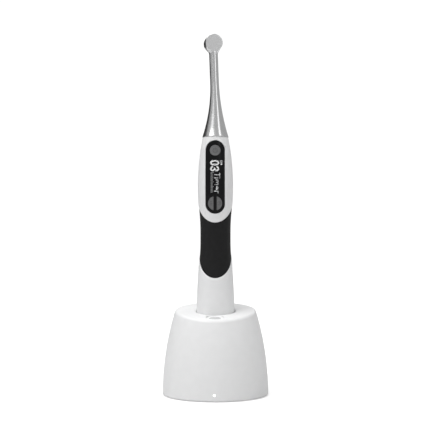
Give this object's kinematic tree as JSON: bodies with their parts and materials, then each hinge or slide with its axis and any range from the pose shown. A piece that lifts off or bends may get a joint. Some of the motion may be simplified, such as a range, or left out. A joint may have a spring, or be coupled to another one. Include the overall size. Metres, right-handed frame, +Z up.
{
  "type": "curing light",
  "caption": "Pen-shaped cordless dental curing light with a swivelling metal lamp neck, a display panel and push buttons, standing in a round charging cradle.",
  "frame": {"origin": "middle of the cradle's underside, on the surface it stands on", "axes": "+Z up along the handpiece, -Y towards the user (the display's side), +X to the user's right"},
  "size_m": [0.0714, 0.0714, 0.2469],
  "materials": {
    "white_gloss": "gloss",
    "white_matte": "matte",
    "panel_black": "gloss",
    "button_grey": "satin",
    "grip_black": "matte",
    "neck_metal": "satin",
    "steel": "satin",
    "gold_contact": "satin",
    "seal_rubber": "matte",
    "circuit_board": "satin",
    "lamp_board": "satin",
    "chip_black": "matte",
    "led_yellow": "gloss",
    "reflector_bright": "polished",
    "lens_clear": "clear",
    "display_black": "gloss",
    "cell_sleeve": "satin",
    "wire_sleeve": "matte",
    "light_guide": "translucent"
  },
  "bodies": {
    "cradle": {"base_shell": "white_gloss", "base_top": "white_gloss", "socket_cup": "white_matte", "sensor_port_window": "light_guide", "photodiode": "chip_black", "sensor_board": "circuit_board", "pin_barrel_left": "gold_contact", "pin_barrel_right": "gold_contact", "pin_block": "white_matte", "base_board": "circuit_board", "power_inlet": "steel", "status_lamp": "light_guide", "status_lamp_guide": "light_guide", "bottom_screw_1": "steel", "bottom_screw_2": "steel", "bottom_screw_3": "steel", "bottom_plate": "white_matte", "ballast_plate": "steel", "rubber_foot_1": "seal_rubber", "rubber_foot_2": "seal_rubber", "rubber_foot_3": "seal_rubber", "rubber_foot_4": "seal_rubber"},
    "handpiece": {"upper_casing": "white_gloss", "display_window": "panel_black", "display_module": "display_black", "control_board": "circuit_board", "board_screw_1": "steel", "board_screw_2": "steel", "power_switch": "chip_black", "mode_switch": "chip_black", "time_switch": "chip_black", "processor_chip": "chip_black", "buzzer": "chip_black", "inner_tube": "white_matte", "battery_cell": "cell_sleeve", "battery_top_contact": "steel", "battery_bottom_contact": "steel", "grip_sleeve": "grip_black", "tail_casing": "white_gloss", "tail_cap": "white_gloss", "charge_pad_left": "gold_contact", "charge_pad_right": "gold_contact", "tail_seal_ring": "seal_rubber", "charge_board": "circuit_board"},
    "lamp_neck": {"neck_housing": "neck_metal", "swivel_hub": "neck_metal", "swivel_clip": "steel", "swivel_seal_ring": "seal_rubber", "led_board": "lamp_board", "led_emitter": "led_yellow", "reflector": "reflector_bright", "exit_lens": "lens_clear", "lens_ring": "neck_metal", "lamp_wire_left": "wire_sleeve", "lamp_wire_right": "wire_sleeve"},
    "power_key": {"power_button": "button_grey"},
    "mode_key": {"mode_button": "button_grey"},
    "time_key": {"time_button": "button_grey"},
    "pin_left": {"charge_pin_left": "gold_contact"},
    "pin_right": {"charge_pin_right": "gold_contact"}
  },
  "joints": [
    {"name": "handpiece_lift", "type": "slide", "parent": "cradle", "child": "handpiece", "axis": [0, 0, 1], "range_m": [0, 0.08]},
    {"name": "head_swivel", "type": "hinge", "parent": "handpiece", "child": "lamp_neck", "pos_m": [0, 0, 0.17465], "axis": [0, 0, 1], "range_deg": [-181.5, 158.5]},
    {"name": "power_press", "type": "slide", "parent": "handpiece", "child": "power_key", "axis": [0, 1, 0], "range_m": [0, 0.0005], "stiffness_N_per_m": 800, "springref_m": -0.0005},
    {"name": "mode_press", "type": "slide", "parent": "handpiece", "child": "mode_key", "axis": [0, 1, 0], "range_m": [0, 0.0005], "stiffness_N_per_m": 800, "springref_m": -0.0005},
    {"name": "time_press", "type": "slide", "parent": "handpiece", "child": "time_key", "axis": [0, 1, 0], "range_m": [0, 0.0005], "stiffness_N_per_m": 800, "springref_m": -0.0005},
    {"name": "pin_left_press", "type": "slide", "parent": "cradle", "child": "pin_left", "axis": [0, 0, -1], "range_m": [0, 0.001], "stiffness_N_per_m": 400, "springref_m": -0.0005},
    {"name": "pin_right_press", "type": "slide", "parent": "cradle", "child": "pin_right", "axis": [0, 0, -1], "range_m": [0, 0.001], "stiffness_N_per_m": 400, "springref_m": -0.0005}
  ]
}
